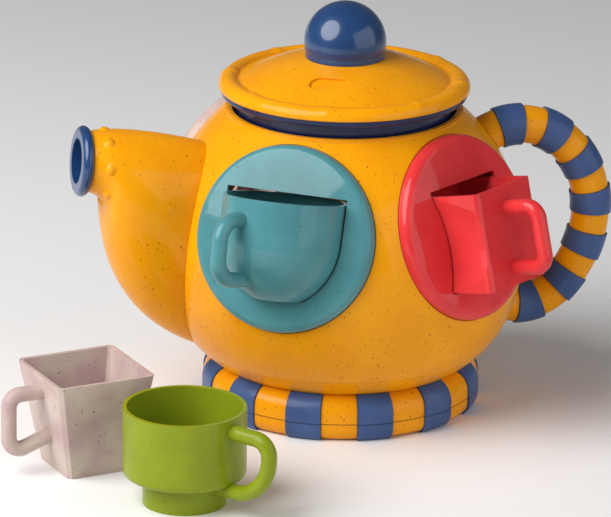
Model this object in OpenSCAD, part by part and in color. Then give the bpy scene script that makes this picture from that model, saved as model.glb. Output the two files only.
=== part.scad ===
// Toy teapot that is a shape sorter: four cups post through four discs with matching slots.
// Millimetres, +Z up. The origin is on the floor at the middle of the base ring.
// The handle points to +X and the spout to -X. The teal and red discs face the front, -Y.
// The teal and red cups sit half way in their slots, and the cream and green cups stand in front.

/* [Pot body] */
// Outer radius of the ball
body_r = 83.3; // [81:0.1:86]
// Height of the middle of the ball over the floor
body_z = 75; // [74:0.5:77]
// Wall of the two moulded shells
wall = 2.6; // [2.2:0.1:3]
// Radius of the round under the ball
keel_r = 50; // [47:0.5:53]
// Angle below the widest line where the round under the ball starts
keel_angle = 20; // [16:1:24]
// Height of the flat floor under the ball
floor_z = 14.5; // [14.2:0.1:15.5]
// Inner radius of the neck
neck_r = 51.2; // [50.6:0.1:52]
// Depth of the neck below its lip
neck_depth = 8.5; // [7:0.5:10]
// Width of the shelf in the neck that carries the lid
shelf_w = 4.6; // [4:0.1:5.5]

/* [Base ring] */
// Outer radius of the base ring
ring_r = 63.2; // [62:0.1:65]
// Height of the parting line of the base ring
ring_seam_z = 8.5; // [7.5:0.1:9.5]
// Radius of the upper edge of the base ring
ring_top_r = 9; // [8:0.5:10]
// Height of the base ring
ring_h = 21; // [20:0.5:22]
// Radius of the lower edge of the base ring
ring_foot_r = 6; // [5:0.5:7]
// Radius of the hole through the base ring
ring_hole_r = 50; // [48:0.5:51]
// How far the blue bands stand proud
band_rise = 0.9; // [0.6:0.1:1.2]
// Number of blue bands round the base
ring_bands = 12; // [8:1:16]

/* [Lid] */
// Outer radius of the rolled rim of the lid
lid_r = 57.1; // [56.5:0.1:58]
// Height of the middle of the rolled rim over the lip of the neck
lid_rim_up = 10; // [9.3:0.1:11.3]
// Radius of the roll
lid_roll_r = 4.7; // [4.2:0.1:5]
// Radius of the domed top
dome_r = 97.5; // [94:0.5:102]
// Height over the lip where the top of the dome would be without the knob
dome_top_up = 25.4; // [24.3:0.1:26.3]
// Outer radius of the flange under the rim
flange_r = 56.2; // [55:0.1:56.6]
// Outer radius of the collar that drops into the neck
collar_r = 49.7; // [49:0.1:50]
// Radius of the ball knob
knob_r = 18.7; // [17:0.1:20]
// Height of the middle of the ball knob over the lip
knob_up = 30.5; // [29.3:0.1:32.3]
// Radius of the upright foot of the ball knob
knob_foot_r = 18.2; // [16.6:0.1:19.5]

/* [Discs] */
// Outer radius of a disc
disc_r = 42; // [41:0.1:43]
// Turn of each disc away from straight front or straight back
disc_turn = 36; // [35:0.5:37]
// Upward tilt of the discs
disc_tilt = 17.5; // [16:0.5:19]
// How far the seat of a disc lies below the surface of the ball
disc_sink = 12.3; // [11.9:0.1:12.7]
// Height of a disc over its seat at the edge
disc_edge_h = 6.8; // [6:0.1:7.5]
// Height of the crown over the edge
disc_crown = 1.9; // [1.4:0.1:2.4]
// Round of the disc edge
disc_round = 4; // [3:0.5:4.5]
// Thickness of the face of a disc
disc_face = 2.4; // [2:0.1:2.8]
// Clearance of a cup in its slot
slot_gap = 0.8; // [0.6:0.1:1]
// Extra height of a slot over its cup
slot_head = 2; // [1:0.1:2.4]

/* [Teal cup] */
// Radius of the teal cup
teal_r = 27.9; // [27:0.1:28.4]
// Height of the teal cup
teal_h = 45; // [43:0.5:46]
// Radius of the bowl round of the teal cup
teal_bowl_r = 31.7; // [30:0.1:33]
// Height where the bowl round of the teal cup starts
teal_bowl_z = 27; // [26:0.5:28]
// Turn of the teal handle to the left of its disc
teal_handle_turn = 22; // [0:1:30]
// Reach of the handle of the teal cup from the cup's axis
teal_reach = 39.5; // [38:0.5:41]

/* [Red cup] */
// Width of the red cup at its middle
red_w = 44; // [43:0.5:45]
// Width of the front and back faces of the red cup
red_face_w = 39.5; // [38:0.5:41]
// Depth of the red cup from face to face
red_d = 45; // [43:0.5:46]
// Height of the red cup
red_h = 45; // [43:0.5:46]
// Width of the red cup at its waist
red_waist_w = 36.6; // [35.5:0.1:38]
// Radius of the hollow sides of the red cup
red_side_r = 66; // [62:1:72]
// Reach of the red handle from the face
red_reach = 17.3; // [16:0.1:18.5]

/* [Cream cup] */
// Width of the cream cup at the rim
cream_top_w = 46.5; // [45:0.5:48]
// Width of the cream cup at the base
cream_base_w = 31; // [30:0.5:33]
// Height of the cream cup
cream_h = 45.7; // [44:0.1:47]
// Reach of the cream handle from the cup's axis
cream_reach = 37.4; // [36:0.1:39]

/* [Green cup] */
// Radius of the green cup
green_r = 27.2; // [26:0.1:28]
// Height of the green cup
green_h = 44.3; // [43:0.1:46]
// Radius of the foot of the green cup
green_foot_r = 18.4; // [17.5:0.1:19.5]
// Height of the foot of the green cup
green_foot_h = 12.8; // [12:0.1:13.5]
// Reach of the green handle from the cup's axis
green_reach = 47.4; // [46:0.1:50]

/* [Cup walls and handles] */
// Wall of the cups
cup_wall = 1.8; // [1.5:0.1:2.1]
// Diameter of the handles of the cups
cup_handle_d = 7; // [6.4:0.1:7.6]

/* [Pot handle] */
// Diameter of the pot handle
handle_d = 17.5; // [16.5:0.1:18.5]
// Wall of the pot handle
handle_wall = 2.4; // [2:0.1:2.8]
// Distance of the outermost point of the handle's middle line from the ball
handle_out = 35.2; // [32.7:0.5:37.7]
// Height of that point
handle_z = 85; // [83:0.5:87]
// Bend of the handle above that point
handle_upper_r = 43.4; // [42:0.1:45]
// Turn of the bend above that point
handle_upper_turn = 53.4; // [50:0.1:56]
// Bend at the top of the handle
handle_top_r = 31.6; // [30:0.1:33]
// Bend of the handle below that point
handle_lower_r = 53.9; // [52:0.1:56]
// Turn of the bend below that point
handle_lower_turn = 43.8; // [42:0.1:46]
// Bend at the bottom of the handle
handle_foot_r = 25.8; // [24:0.1:28]
// Length of each blue band along the handle
grip_band_l = 11.2; // [9:0.1:13]
// Spacing of the blue bands along the handle
grip_pitch = 20.5; // [19:0.1:21]

/* [Spout] */
// Distance of the mouth of the spout from the pot's axis
spout_reach = 121.7; // [119:0.1:124]
// Height of the middle of the mouth
mouth_z = 121.3; // [119:0.1:123]
// Backward lean of the mouth
mouth_lean = 5.8; // [4:0.1:8]
// Outer radius of the blue mouth ring
mouth_ring_r = 16.1; // [15.5:0.1:17]
// Radius of the hole in the mouth ring
mouth_hole_r = 10.3; // [9.5:0.1:11]
// Radius of the spout behind the mouth ring
spout_neck_r = 13.9; // [13.5:0.1:14.4]
// Wall of the spout
spout_wall = 2.2; // [2:0.1:2.6]
// Half width of the spout at the ball
spout_half_w = 25.5; // [24:0.5:27]

/* [Hidden] */

orange = "#F0AA1C";
band_blue = "#3E5480";
knob_blue = "#284B78";
teal = "#62A5AA";
red = "#DE3E44";
cream = "#CDBEAF";
green = "#96AF28";
steel = "#A8A8A8";

// Overrun of every cut, and the running gap of pieces that are fitted together.
over = 1;
fit = 0.1;
seat_gap = 0.3;
far = 2 * body_r;
$fn = 96;

// Ball: the round under it is tangent to the ball on the keel line.
keel_x = (body_r - keel_r) * cos(keel_angle);
keel_z = body_z - (body_r - keel_r) * sin(keel_angle);

// Neck and lip.
neck_wall = 2.2;
lip_rise = 0.8;
lip_step = 0.6;
lip_w = 3;
shelf_t = 2;
lip_z = body_z + sqrt(pow(body_r, 2) - pow(neck_r + neck_wall, 2)) + lip_rise;
shelf_z = lip_z - neck_depth;
neck_in_r = neck_r - shelf_w;
lid_rim_z = lip_z + lid_rim_up;
dome_top_z = lip_z + dome_top_up;
knob_z = lip_z + knob_up;

// Discs.
disc_azimuths = [-disc_turn, disc_turn, 180 - disc_turn, 180 + disc_turn];
disc_seat = body_r - disc_sink;
disc_skirt_in = 3.8;
disc_skirt_r = disc_r - disc_skirt_in;
disc_skirt_wall = 1.8;
frame_out = 1.8;
frame_r = disc_r + frame_out;
frame_t = 5;
hook_w = 8;
hook_out = 1.3;
hook_t = 1;
hook_low = 0.3;
disc_skirt_h = frame_t + seat_gap + hook_t + hook_low;
hook_count = 3;
disc_dome_r = (pow(disc_r - disc_round, 2) + pow(disc_crown, 2)) / (2 * disc_crown);
disc_top = disc_seat + disc_edge_h + disc_crown;

// Shell screws join the two halves of the ball near the seam.
screw_r = 1.5;
screw_head_r = 2.9;
screw_head_h = 2.2;
screw_l = 16;
boss_r = 4;
boss_in = 5.5;
boss_h = 12;
boss_turn = 5;
boss_keel_turn = 60;
boss_grip = 10;

// Places of the cups.
cup_lean = 4;
slot_low = 26.4;
cup_axis_in = 2;
cream_at = [-133.2, -63.2];
cream_turn = 12.3;
green_at = [-101, -118.3];
green_handle_turn = -52.8;
cup_corner_r = 3;
cup_base_t = 2.2;
teal_foot_r = 11.5;
foot_hollow = 0.8;
teal_high_share = 0.787;
teal_low_share = 0.192;
teal_end_in = 10.5;
teal_bend_r = 9.5;
red_high_share = 0.78;
red_low_share = 0.165;
red_bend_r = 6;
cream_high_share = 0.82;
cream_low_share = 0.22;
cream_end_share = 0.38;
cream_bend_r = 5.5;
green_high_share = 0.865;
green_low_share = 0.25;
green_bend_r = 7;
green_sweep_r = 19.5;
bar_ease = 0.05;
bar_lap = 0.5;

// Lid.
cover_t = 2.4;
flange_t = 3.2;
flange_round = 1.2;
flange_down = 0.64;
flange_top_z = lid_rim_z - flange_down;
flange_low_z = flange_top_z - flange_t;
collar_wall = 2.2;
collar_low_z = shelf_z + shelf_t + seat_gap;
collar_floor_t = 2;
dome_z = dome_top_z - dome_r;
knob_stem_r = 6;
knob_stem_l = 26.2;
knob_foot_h = 9;
knob_washer_r = 8.4;
badge_l = 19;
badge_w = 9.5;
badge_depth = 1.3;
badge_azimuth = -26;
badge_out = 33;
lid_boss_at = 34;
lid_boss_count = 3;

// Base.
ring_wall = 2.4;
ring_web_z = 15.2;
band_t = 2;
band_share = 0.5;
plate_t = 3.8;
plate_screw_z = screw_head_h + seat_gap;
plate_ledge = 2.4;
plate_boss_at = 30;
plate_boss_count = 4;

// Handle of the pot: each end runs on into the ball, where a thinner stub goes through its wall.
handle_top_turn = 75;
handle_foot_turn = 85;
handle_step = 1;
handle_top_l = 75;
handle_foot_l = 71;
handle_tail = 6;
stub_back = 4;
sleeve_ease = 0.3;
grip_first = 64.5;
grip_count = 7;
grip_groove = 0.5;

// Spout: control points of its side view, in shares of its reach and of the mouth's height.
spout_top_shares = [[0.846, 1.121], [0.698, 1.092], [0.51, 1.039]];
spout_chin_shares = [[0.924, 0.874], [0.926, 0.787]];
spout_belly_shares = [[0.93, 0.577], [0.813, 0.338], [0.526, 0.243]];
spout_chin_share = 0.25;
spout_flare_share = 0.8;
spout_steps = 18;
spout_sides = 14;
nub_r = 2.6;
nub_in = 0.6;
nub_share = 0.15;
nub_count = 8;
sleeve_l = 26;
mouth_ring_t = 5;
tongue_root = 6;
tongue_l = 9;
tongue_t = 2;
tongue_h = 10;
tongue_y = 23.7;
tongue_z = 86;

function unit(v) = v / norm(v);
function heading(v) = atan2(v[1], v[0]);

// Filled outline of a convex polygon, given anticlockwise, with its corners rounded by radii.
module rounded_outline(points, radii) {
    n = len(points);
    ends = [for (i = [0:n - 1])
        let (p = points[i],
             back = unit(points[(i + n - 1) % n] - p),
             ahead = unit(points[(i + 1) % n] - p),
             half = acos(back * ahead) / 2,
             run = radii[i] / tan(half))
        [p + back * run, p + ahead * run, p + unit(back + ahead) * radii[i] / sin(half)]];
    polygon([for (i = [0:n - 1]) each radii[i] > 0 ? [ends[i][0], ends[i][1]] : [points[i]]]);
    for (i = [0:n - 1])
        if (radii[i] > 0) translate(ends[i][2]) circle(r = radii[i]);
}

// Round bar along a path in the XZ plane, with a round bend at each inner point. The straights
// are a hair thinner than the bends and run on a little into them.
module bar_path(points, bends, d) {
    n = len(points);
    turns = [for (i = [1:n - 2])
        let (turn = heading(points[i + 1] - points[i]) - heading(points[i] - points[i - 1]))
        turn - 360 * round(turn / 360)];
    cuts = [0, for (i = [0:n - 3]) bends[i] * tan(abs(turns[i]) / 2), 0];
    for (i = [0:n - 2]) {
        run = points[i + 1] - points[i];
        start = points[i] + unit(run) * (cuts[i] - bar_lap);
        translate([start[0], 0, start[1]]) rotate([0, 90 - heading(run), 0])
            cylinder(h = norm(run) - cuts[i] - cuts[i + 1] + 2 * bar_lap, d = d - 2 * bar_ease);
    }
    for (i = [1:n - 2]) {
        side = sign(turns[i - 1]);
        along = heading(points[i] - points[i - 1]);
        start = points[i] - unit(points[i] - points[i - 1]) * cuts[i];
        middle = start + bends[i - 1] * side * [-sin(along), cos(along)];
        from = side > 0 ? along - 90 : along + 90 + turns[i - 1];
        translate([middle[0], 0, middle[1]]) rotate([90, 0, 0]) rotate(from)
            rotate_extrude(angle = abs(turns[i - 1])) translate([bends[i - 1], 0]) circle(d = d);
    }
}

// Ring of copies about +Z.
module around(count, first = 0) {
    for (i = [0:count - 1]) rotate(first + 360 * i / count) children();
}

// Frame of a disc: +Z out along its axis from the middle of the ball, +Y up its face.
module at_disc(azimuth) {
    translate([0, 0, body_z]) rotate([0, 0, azimuth]) rotate([90 - disc_tilt, 0, 0]) children();
}

// Half outline of the ball to the right of its axis, drawn in by inset.
module ball_half(inset) {
    low = floor_z + inset;
    intersection() {
        translate([0, body_z]) circle(r = body_r - inset);
        polygon([[0, body_z], [far * cos(keel_angle), body_z - far * sin(keel_angle)],
                 [far, far + body_z], [0, far + body_z]]);
    }
    intersection() {
        translate([keel_x, keel_z]) circle(r = keel_r - inset);
        translate([0, low]) square(far);
    }
    translate([0, low]) square([keel_x, body_z - low]);
}

// Half section of the whole shell with its neck, lip and shelf.
module shell_half() {
    difference() {
        ball_half(0);
        ball_half(wall);
        translate([0, shelf_z]) square([neck_r + neck_wall / 2, far]);
    }
    translate([neck_r, shelf_z]) square([neck_wall, neck_depth - lip_step]);
    translate([neck_r + lip_w - neck_wall, lip_z - lip_rise - lip_step])
        square([neck_wall, lip_rise]);
    translate([neck_r, lip_z - lip_rise - lip_step]) square([neck_wall, lip_rise + lip_step]);
    translate([neck_in_r, shelf_z]) square([shelf_w + neck_wall, shelf_t]);
}

// Axes of the shell bosses: along Y through points just inside the wall at the seam.
module at_shell_bosses() {
    high = body_r - boss_in;
    low = keel_r - boss_in;
    for (s = [-1, 1]) {
        translate([s * high * cos(boss_turn), 0, body_z + high * sin(boss_turn)])
            rotate([-90, 0, 0]) children();
        translate([s * (keel_x + low * cos(boss_keel_turn)), 0, keel_z - low * sin(boss_keel_turn)])
            rotate([-90, 0, 0]) children();
    }
}

module whole_shell() {
    difference() {
        union() {
            rotate_extrude() shell_half();
            for (a = disc_azimuths)
                at_disc(a) translate([0, 0, disc_seat - frame_t])
                    cylinder(r1 = frame_r, r2 = disc_r - over, h = frame_t + seat_gap);
            at_shell_bosses() translate([0, 0, -boss_h]) cylinder(r = boss_r, h = 2 * boss_h);
            around(plate_boss_count, 45) translate([plate_boss_at, 0, plate_t + fit])
                cylinder(r = boss_r, h = floor_z + wall - plate_t - fit);
        }
        for (a = disc_azimuths)
            at_disc(a) {
                translate([0, 0, disc_seat]) cylinder(r = disc_r + seat_gap, h = far);
                cylinder(r = disc_skirt_r + seat_gap, h = far);
            }
        around(plate_boss_count, 45) translate([plate_boss_at, 0, 0])
            cylinder(r = screw_r, h = floor_z + wall / 2);
        for (side = [-1, 1]) spout_tongue(side, fit);
        handle_stubs(far) circle(r = handle_d / 2 - handle_step + fit);
    }
}

module body_front() {
    color(orange) difference() {
        intersection() {
            whole_shell();
            translate([-far, -far, -over]) cube([2 * far, far, 2 * far]);
        }
        at_shell_bosses() translate([0, 0, -boss_grip]) cylinder(r = screw_r, h = boss_grip + over);
    }
}

module body_rear() {
    color(orange) difference() {
        intersection() {
            whole_shell();
            translate([-far, 0, -over]) cube([2 * far, far, 2 * far]);
        }
        at_shell_bosses() {
            translate([0, 0, -over]) cylinder(r = screw_r + fit, h = far);
            translate([0, 0, screw_l - boss_grip]) cylinder(r = screw_head_r + fit, h = far);
        }
    }
}

// Screw with its head up and the underside of the head at z = 0.
module screw(l) {
    translate([0, 0, -l]) cylinder(r = screw_r, h = l + over);
    difference() {
        cylinder(r = screw_head_r, h = screw_head_h);
        for (a = [0, 90])
            rotate(a) translate([-screw_head_r / 2, -screw_r / 4, screw_head_h / 2])
                cube([screw_head_r, screw_r / 2, screw_head_h]);
    }
}

module shell_screws() {
    color(steel) at_shell_bosses() translate([0, 0, screw_l - boss_grip]) screw(screw_l);
}

// Half section of the base ring, drawn in by inset.
module ring_half(inset) {
    inner = ring_hole_r + inset;
    shoulder_z = ring_h - ring_top_r;
    translate([inner, inset]) square([ring_r - ring_top_r - inner, ring_h - 2 * inset]);
    translate([inner, inset]) square([ring_r - ring_foot_r - inner, shoulder_z - inset]);
    translate([inner, ring_foot_r])
        square([ring_r - inset - inner, shoulder_z - ring_foot_r]);
    translate([ring_r - ring_top_r, shoulder_z]) circle(r = ring_top_r - inset);
    translate([ring_r - ring_foot_r, ring_foot_r]) circle(r = ring_foot_r - inset);
}

// Half section of the hollow in the base ring; the web over it carries the ball.
module ring_hollow_half() {
    intersection() {
        ring_half(ring_wall);
        square([far, ring_web_z]);
    }
}

// Space of the ball, grown a little, that the ring is cut to.
module ball_space(gap) {
    rotate_extrude() ball_half(-gap);
}

// Wedge between two angles about +Z, out to the far radius.
module wedge(from, turn) {
    rotate(from) translate([0, 0, -over]) rotate_extrude(angle = turn) square([far, far]);
}

module ring_slab(upper, low) {
    translate([-far, -far, upper ? ring_seam_z : low])
        cube([2 * far, 2 * far, upper ? far : ring_seam_z - low]);
}

// One half of the base ring, with a sunk place for each band.
module base_ring(upper) {
    band_turn = band_share * 360 / ring_bands;
    intersection() {
        difference() {
            rotate_extrude() difference() {
                ring_half(0);
                ring_hollow_half();
            }
            ball_space(fit);
            difference() {
                around(ring_bands) rotate(-90 - band_turn / 2) wedge(0, band_turn);
                rotate_extrude() ring_half(band_t - band_rise + fit);
                translate([0, 0, -over]) cylinder(r = ring_r - ring_top_r, h = far);
            }
        }
        ring_slab(upper, -over);
    }
}

// Blue bands that lie in the sunk places and stand proud of the ring.
module base_bands(upper) {
    band_turn = band_share * 360 / ring_bands - 2 * fit;
    intersection() {
        difference() {
            intersection() {
                rotate_extrude() difference() {
                    ring_half(-band_rise);
                    ring_half(band_t - band_rise);
                }
                around(ring_bands) rotate(-90 - band_turn / 2) wedge(0, band_turn);
            }
            ball_space(fit);
            translate([0, 0, -over]) cylinder(r = ring_r - ring_top_r + fit, h = far);
        }
        ring_slab(upper, seat_gap);
    }
}

module base_ring_upper() {
    color(orange) base_ring(true);
}

module base_ring_lower() {
    color(orange) {
        base_ring(false);
        difference() {
            translate([0, 0, plate_t + fit]) cylinder(r = ring_hole_r + over, h = plate_ledge);
            cylinder(r = ring_hole_r - plate_ledge, h = far);
        }
    }
}

module base_bands_upper() {
    color(band_blue) base_bands(true);
}

module base_bands_lower() {
    color(band_blue) base_bands(false);
}

module base_plate() {
    color(orange) difference() {
        cylinder(r = ring_hole_r - fit, h = plate_t);
        around(plate_boss_count, 45) translate([plate_boss_at, 0, -over]) {
            cylinder(r = screw_r + fit, h = far);
            cylinder(r = screw_head_r + fit, h = over + plate_screw_z);
        }
    }
}

module base_screws() {
    color(steel) around(plate_boss_count, 45)
        translate([plate_boss_at, 0, plate_screw_z]) mirror([0, 0, 1])
            screw(floor_z - plate_screw_z);
}

// Half section of the orange cover: dome, rolled rim and flat underside of the rim.
module cover_half() {
    difference() {
        union() {
            intersection() {
                translate([0, dome_z]) circle(r = dome_r);
                translate([0, flange_top_z]) square([lid_r - lid_roll_r, far]);
            }
            translate([lid_r - lid_roll_r, lid_rim_z]) circle(r = lid_roll_r);
        }
        intersection() {
            translate([0, dome_z]) circle(r = dome_r - cover_t);
            square([lid_r - 2 * lid_roll_r, far]);
        }
        square([far, flange_top_z]);
    }
}

module lid_cover() {
    boss_low = collar_low_z + collar_floor_t + fit;
    boss_top = dome_z + sqrt(pow(dome_r - cover_t / 2, 2) - pow(lid_boss_at + boss_r, 2));
    color(orange) difference() {
        union() {
            rotate_extrude() cover_half();
            around(lid_boss_count) translate([lid_boss_at, 0, boss_low])
                cylinder(r = boss_r, h = boss_top - boss_low);
        }
        cylinder(r = knob_stem_r + fit, h = far + body_r);
        around(lid_boss_count) translate([lid_boss_at, 0, boss_low - over])
            cylinder(r = screw_r, h = over + screw_l);
        rotate(badge_azimuth) translate([0, 0, dome_z])
            rotate([asin(badge_out / dome_r), 0, 0]) translate([0, 0, dome_r - badge_depth])
                for (s = [-1, 1]) {
                    translate([s * (badge_l - badge_w) / 2, 0, 0]) cylinder(d = badge_w, h = far);
                    translate([-(badge_l - badge_w) / 2, -badge_w / 2, 0])
                        cube([badge_l - badge_w, badge_w, far]);
                }
    }
}

module lid_collar() {
    color(band_blue) difference() {
        union() {
            translate([0, 0, collar_low_z]) cylinder(r = collar_r, h = flange_top_z - collar_low_z);
            rotate_extrude() {
                translate([0, flange_low_z]) square([flange_r - flange_round, flange_t]);
                translate([flange_r - flange_round, flange_low_z + flange_round])
                    circle(r = flange_round);
                translate([flange_r - 2 * flange_round, flange_low_z + flange_round])
                    square([2 * flange_round, flange_t - flange_round]);
            }
        }
        translate([0, 0, collar_low_z + collar_floor_t])
            cylinder(r = collar_r - collar_wall, h = far);
        around(lid_boss_count) translate([lid_boss_at, 0, 0]) cylinder(r = screw_r + fit, h = far);
    }
}

module lid_knob() {
    color(knob_blue) difference() {
        union() {
            translate([0, 0, knob_z]) sphere(r = knob_r);
            translate([0, 0, knob_z - knob_foot_h]) cylinder(r = knob_foot_r, h = knob_foot_h);
            translate([0, 0, knob_z - knob_stem_l]) cylinder(r = knob_stem_r, h = knob_r);
        }
        difference() {
            translate([0, 0, dome_z]) sphere(r = dome_r + fit);
            cylinder(r = knob_stem_r, h = far + body_r);
        }
        cylinder(r = screw_r, h = knob_z);
    }
}

module knob_screw() {
    washer_t = cover_t / 2;
    color(steel) translate([0, 0, knob_z - knob_stem_l - washer_t]) {
        cylinder(r = knob_washer_r, h = washer_t);
        mirror([0, 0, 1]) screw(screw_l);
    }
}

module lid_screws() {
    color(steel) around(lid_boss_count)
        translate([lid_boss_at, 0, collar_low_z]) mirror([0, 0, 1]) screw(screw_l);
}

// Side views of the four cups, base at y = 0, grown by grow, with the top raised by head.
module teal_side(grow, head) {
    shift = teal_bowl_r - teal_r;
    translate([-teal_r - grow, teal_bowl_z])
        square([2 * (teal_r + grow), teal_h + head - teal_bowl_z]);
    intersection() {
        translate([-shift, teal_bowl_z]) circle(r = teal_bowl_r + grow);
        translate([shift, teal_bowl_z]) circle(r = teal_bowl_r + grow);
        translate([-far, -grow]) square([2 * far, teal_bowl_z + grow]);
    }
}

module red_side(grow, head) {
    half = red_w / 2 + grow;
    round_r = cup_corner_r + grow;
    difference() {
        rounded_outline([[half, -grow], [half, red_h + head], [-half, red_h + head], [-half, -grow]],
                        [round_r, 0, 0, round_r]);
        for (s = [-1, 1])
            translate([s * (red_waist_w / 2 + red_side_r), red_h / 2])
                circle(r = red_side_r - grow, $fn = 180);
    }
}

module cream_side(grow, head) {
    lean = (cream_top_w - cream_base_w) / 2 / cream_h;
    top = cream_top_w / 2 + grow + lean * head;
    base = cream_base_w / 2 + grow;
    polygon([[base, -grow], [top, cream_h + head], [-top, cream_h + head], [-base, -grow]]);
}

module green_side(grow, head) {
    translate([-green_foot_r - grow, -grow])
        square([2 * (green_foot_r + grow), green_foot_h + cup_corner_r + grow]);
    rounded_outline([[green_r + grow, green_foot_h - grow], [green_r + grow, green_h + head],
                     [-green_r - grow, green_h + head], [-green_r - grow, green_foot_h - grow]],
                    [cup_corner_r + grow, 0, 0, cup_corner_r + grow]);
}

// A disc in its own frame; the child is the side view of its cup, which becomes the slot.
module disc() {
    edge_top = disc_seat + disc_edge_h;
    difference() {
        union() {
            rotate_extrude() {
                translate([0, disc_seat]) square([disc_r, disc_edge_h - disc_round]);
                translate([0, disc_seat]) square([disc_r - disc_round, disc_edge_h]);
                intersection() {
                    translate([disc_r - disc_round, edge_top - disc_round]) circle(r = disc_round);
                    translate([0, disc_seat]) square(far);
                }
                intersection() {
                    translate([0, disc_top - disc_dome_r]) circle(r = disc_dome_r, $fn = 360);
                    translate([0, edge_top - disc_crown])
                        square([disc_r - disc_round, 2 * disc_crown]);
                }
            }
            translate([0, 0, disc_seat - disc_skirt_h]) cylinder(r = disc_skirt_r, h = disc_skirt_h);
            around(hook_count, -90) intersection() {
                translate([0, 0, disc_seat - disc_skirt_h + hook_low])
                    cylinder(r = disc_skirt_r + hook_out, h = hook_t);
                translate([0, -hook_w / 2, 0]) cube([far, hook_w, far]);
            }
        }
        rotate_extrude() intersection() {
            translate([0, disc_top - disc_dome_r]) circle(r = disc_dome_r - disc_face, $fn = 360);
            square([disc_skirt_r - disc_skirt_wall, far]);
        }
        translate([0, -slot_low, disc_seat - disc_skirt_h]) linear_extrude(far) children();
    }
}

module disc_teal() {
    color(teal) at_disc(disc_azimuths[0]) disc() teal_side(slot_gap, slot_head);
}

module disc_red() {
    color(red) at_disc(disc_azimuths[1]) disc() red_side(slot_gap, slot_head);
}

module disc_cream() {
    color(cream) at_disc(disc_azimuths[3]) disc() cream_side(slot_gap, slot_head);
}

module disc_green() {
    color(green) at_disc(disc_azimuths[2]) disc() green_side(slot_gap, slot_head);
}

// Puts a standing cup into the slot of a disc, half way in, leaning out a little.
module in_slot(azimuth, h) {
    at_disc(azimuth)
        translate([0, h / 2 - slot_low - slot_gap + seat_gap, disc_top - cup_axis_in])
            rotate([cup_lean, 0, 0]) translate([0, -h / 2, 0]) rotate([-90, 0, 0]) children();
}

// Cup handle in the XZ plane, from the rim end to the base end.
module cup_handle(points, bends) {
    bar_path(points, bends, cup_handle_d);
}

module teal_cup_solid(inset) {
    rotate_extrude() intersection() {
        teal_side(-inset, inset > 0 ? over + inset : 0);
        translate([0, inset > 0 ? cup_base_t : 0]) square(far);
    }
}

module cup_teal() {
    color(teal) in_slot(disc_azimuths[0], teal_h) difference() {
        union() {
            teal_cup_solid(0);
            rotate(-90 - teal_handle_turn)
                cup_handle([[teal_r - cup_wall, teal_high_share * teal_h],
                            [teal_reach, teal_high_share * teal_h],
                            [teal_reach, teal_low_share * teal_h],
                            [teal_r - teal_end_in, teal_low_share * teal_h]],
                           [teal_bend_r, teal_bend_r]);
        }
        teal_cup_solid(cup_wall);
        translate([0, 0, -over]) cylinder(r = teal_foot_r, h = over + foot_hollow);
    }
}

// Red cup: a six sided plan seen from above, cut to its waisted side view.
module red_cup_solid(inset) {
    middle = red_w / 2 - inset;
    face = red_face_w / 2 - inset;
    depth = red_d / 2 - inset;
    corner = cup_corner_r - inset / 2;
    base = inset > 0 ? cup_base_t : 0;
    intersection() {
        translate([0, 0, base]) linear_extrude(red_h)
            rounded_outline([[middle, 0], [face, depth], [-face, depth], [-middle, 0],
                             [-face, -depth], [face, -depth]],
                            [0, corner, corner, 0, corner, corner]);
        rotate([90, 0, 0]) linear_extrude(red_d, center = true)
            red_side(-inset, inset > 0 ? over + inset : 0);
    }
}

module cup_red() {
    color(red) in_slot(disc_azimuths[1], red_h) difference() {
        union() {
            red_cup_solid(0);
            rotate(-90)
                cup_handle([[red_d / 2 - cup_wall, red_high_share * red_h],
                            [red_d / 2 + red_reach, red_high_share * red_h],
                            [red_d / 2 + red_reach, red_low_share * red_h],
                            [red_d / 2 - cup_wall, red_low_share * red_h]],
                           [red_bend_r, red_bend_r]);
        }
        red_cup_solid(cup_wall);
    }
}

// One side view of the cream cup, drawn out level and turned about +Z.
module cream_run(turn, inset) {
    rotate([90, 0, turn]) linear_extrude(far, center = true) intersection() {
        cream_side(-inset, inset > 0 ? over : 0);
        translate([-far, inset > 0 ? cup_base_t : 0]) square(2 * far);
    }
}

// Square cup that widens upward: two crossed side views, with a cone that eases the corners.
module cream_solid(inset) {
    ease = (sqrt(2) - 1) * (cup_corner_r - inset / 2);
    lean = (cream_top_w - cream_base_w) / 2 / cream_h;
    low = inset > 0 ? cup_base_t : 0;
    high = cream_h + (inset > 0 ? over : 0);
    half_w = cream_base_w / 2 - inset;
    intersection() {
        cream_run(0, inset);
        cream_run(90, inset);
        translate([0, 0, low])
            cylinder(r1 = sqrt(2) * (half_w + lean * low) - ease,
                     r2 = sqrt(2) * (half_w + lean * high) - ease, h = high - low);
    }
}

module cup_cream() {
    color(cream) translate([cream_at[0], cream_at[1], 0]) rotate(cream_turn) difference() {
        union() {
            cream_solid(0);
            rotate(180)
                cup_handle([[cream_top_w / 2 - 2 * cup_wall, cream_high_share * cream_h],
                            [cream_reach, cream_high_share * cream_h],
                            [cream_reach, cream_low_share * cream_h],
                            [cream_base_w / 2, cream_end_share * cream_h]],
                           [cream_bend_r, cream_bend_r]);
        }
        cream_solid(cup_wall);
    }
}

module green_cup_solid(inset) {
    rotate_extrude() intersection() {
        green_side(-inset, inset > 0 ? over + inset : 0);
        translate([0, inset > 0 ? green_foot_h + cup_base_t : 0]) square(far);
    }
}

module cup_green() {
    color(green) translate([green_at[0], green_at[1], 0]) difference() {
        union() {
            green_cup_solid(0);
            rotate(green_handle_turn)
                cup_handle([[green_r - cup_wall / 2, green_high_share * green_h],
                            [green_reach, green_high_share * green_h],
                            [green_reach, green_low_share * green_h],
                            [green_foot_r - cup_wall / 2, green_low_share * green_h]],
                           [green_bend_r, green_sweep_r]);
        }
        green_cup_solid(cup_wall);
        translate([0, 0, -over]) cylinder(r = green_foot_r - cup_wall, h = green_foot_h + over - cup_wall);
    }
}

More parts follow.
